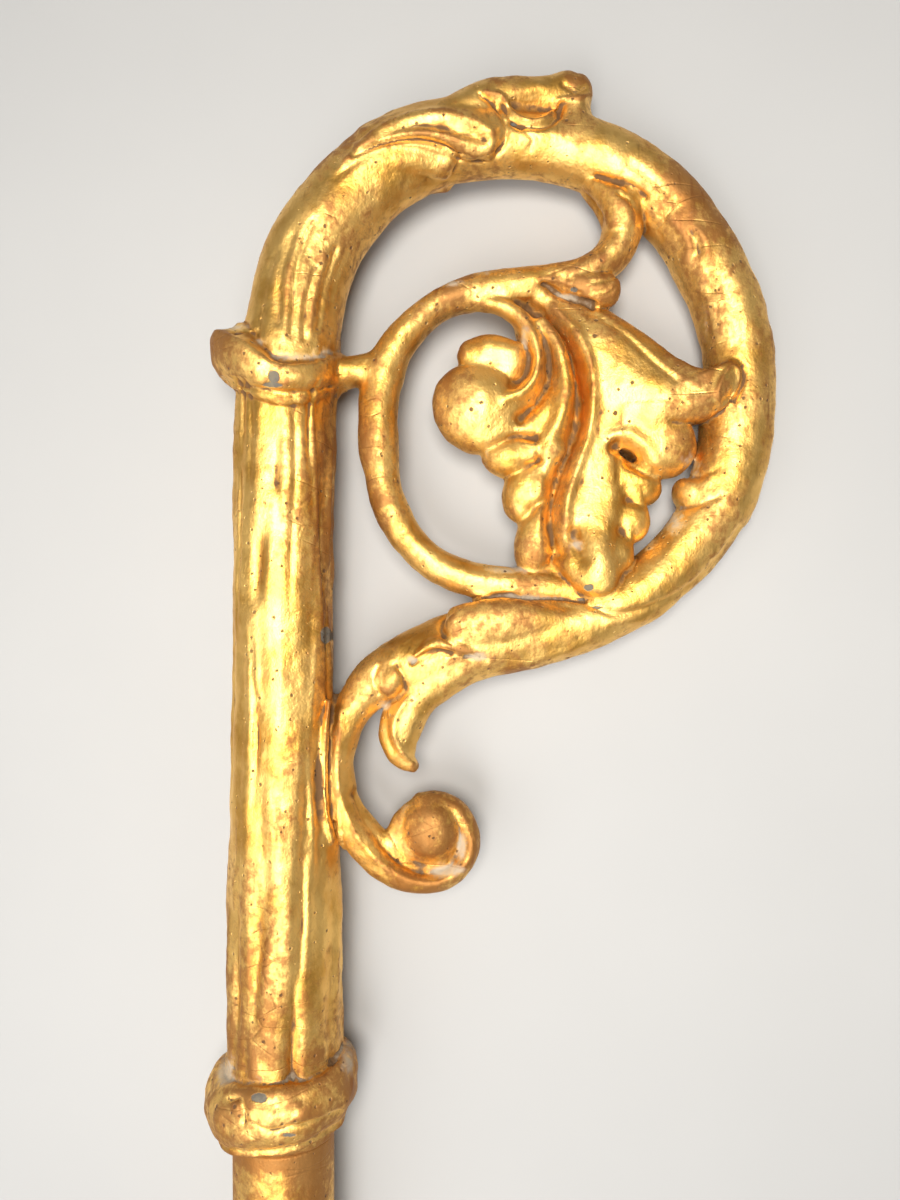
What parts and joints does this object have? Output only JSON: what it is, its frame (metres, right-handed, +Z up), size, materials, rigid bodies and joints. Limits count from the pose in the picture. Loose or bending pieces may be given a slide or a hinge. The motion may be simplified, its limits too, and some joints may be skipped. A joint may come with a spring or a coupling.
{
  "type": "bishop crosier",
  "caption": "Carved and gilded wooden crosier lying down: staff with knop, collar, curled crook, inner stem and acanthus leaf",
  "frame": {"origin": "centre of the flat end at the staff's foot, on the staff's axis", "axes": "+X runs up the staff to the crook, +Z is up from the ground that the crosier lies on, the crook curls toward -Y and rests on its back"},
  "size_m": [1.7565, 0.1699, 0.045],
  "materials": {
    "gilding": "old water gilding over a red-brown ground, rubbed and dusty",
    "worn_gilding": "the same gilding, duller and more worn"
  },
  "bodies": {
    "root": {"crook_head": "gilding", "staff": "worn_gilding"}
  },
  "joints": []
}
